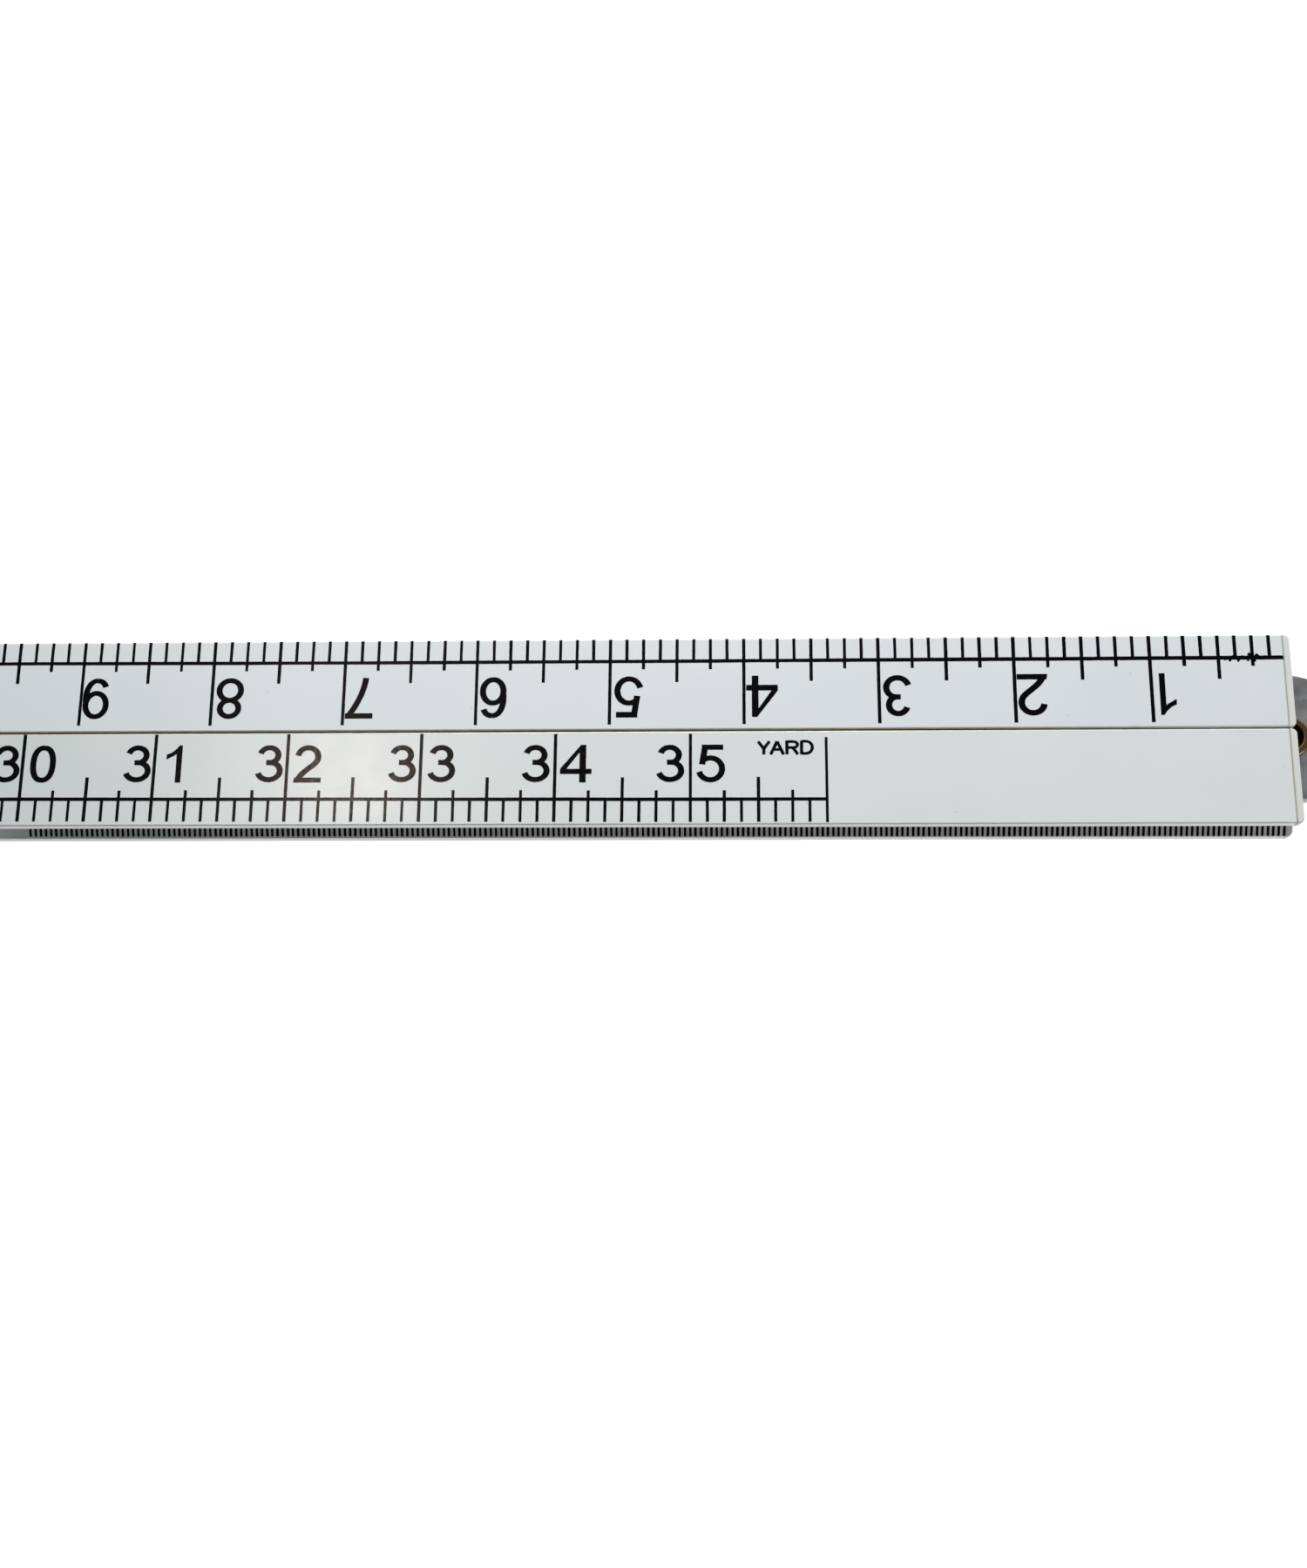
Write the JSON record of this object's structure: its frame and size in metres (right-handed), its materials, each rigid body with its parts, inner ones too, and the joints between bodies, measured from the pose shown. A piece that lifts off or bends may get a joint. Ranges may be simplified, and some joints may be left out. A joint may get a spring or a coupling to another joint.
{
  "type": "four-fold rule",
  "caption": "Flat white plastic folding rule, folded: bevelled legs stacked two by two on butt hinges, joined by a round steel pivot joint with a hollow brass eyelet.",
  "frame": {"origin": "centre of the folded rule's bounding box, on the underside (outer faces of the lower two legs)", "axes": "+X along the legs from the butt hinges to the round joint, +Y across the seam from leg 3 towards leg 2, +Z out of the upper legs' printed faces"},
  "size_m": [0.2644, 0.0376, 0.0105],
  "materials": {
    "white_plastic": "smooth moulded white plastic, faintly glossy",
    "tip_plastic": "smooth moulded off-white plastic",
    "joint_steel": "dull bright steel sheet",
    "leaf_steel": "dull bright steel sheet",
    "pin_steel": "drawn steel wire",
    "eyelet_brass": "rolled brass, slightly tarnished",
    "rivet_brass": "drawn brass wire",
    "washer_fibre": "dark pressed fibre",
    "scale_ink": "black printed ink of the graduations and numerals, on the leg faces"
  },
  "bodies": {
    "section_2": {"leg_2": "white_plastic", "joint_plate_upper": "joint_steel", "joint_plate_lower": "joint_steel", "friction_washer_upper": "washer_fibre", "friction_washer_lower": "washer_fibre", "joint_eyelet": "eyelet_brass", "plate_pins_2": "pin_steel", "hinge_leaf_2": "leaf_steel", "leaf_rivets_2": "rivet_brass", "hinge_pin_a": "pin_steel"},
    "section_3": {"leg_3": "white_plastic", "joint_plate_middle": "joint_steel", "plate_pins_3": "pin_steel", "hinge_leaf_3": "leaf_steel", "leaf_rivets_3": "rivet_brass", "hinge_pin_b": "pin_steel"},
    "section_1": {"leg_1": "white_plastic", "end_tip_1": "tip_plastic", "hinge_leaf_1": "leaf_steel", "leaf_rivets_1": "rivet_brass"},
    "section_4": {"leg_4": "white_plastic", "end_tip_4": "tip_plastic", "hinge_leaf_4": "leaf_steel", "leaf_rivets_4": "rivet_brass"}
  },
  "joints": [
    {"name": "main_joint", "type": "hinge", "parent": "section_2", "child": "section_3", "pos_m": [0.1199, 0, 0], "axis": [0, 0, 1], "range_deg": [0, 180]},
    {"name": "hinge_a", "type": "hinge", "parent": "section_2", "child": "section_1", "pos_m": [-0.1306, 0.0062, 0.00525], "axis": [0, -1, 0], "range_deg": [0, 180]},
    {"name": "hinge_b", "type": "hinge", "parent": "section_3", "child": "section_4", "pos_m": [-0.1306, -0.0062, 0.00525], "axis": [0, -1, 0], "range_deg": [0, 180]}
  ]
}
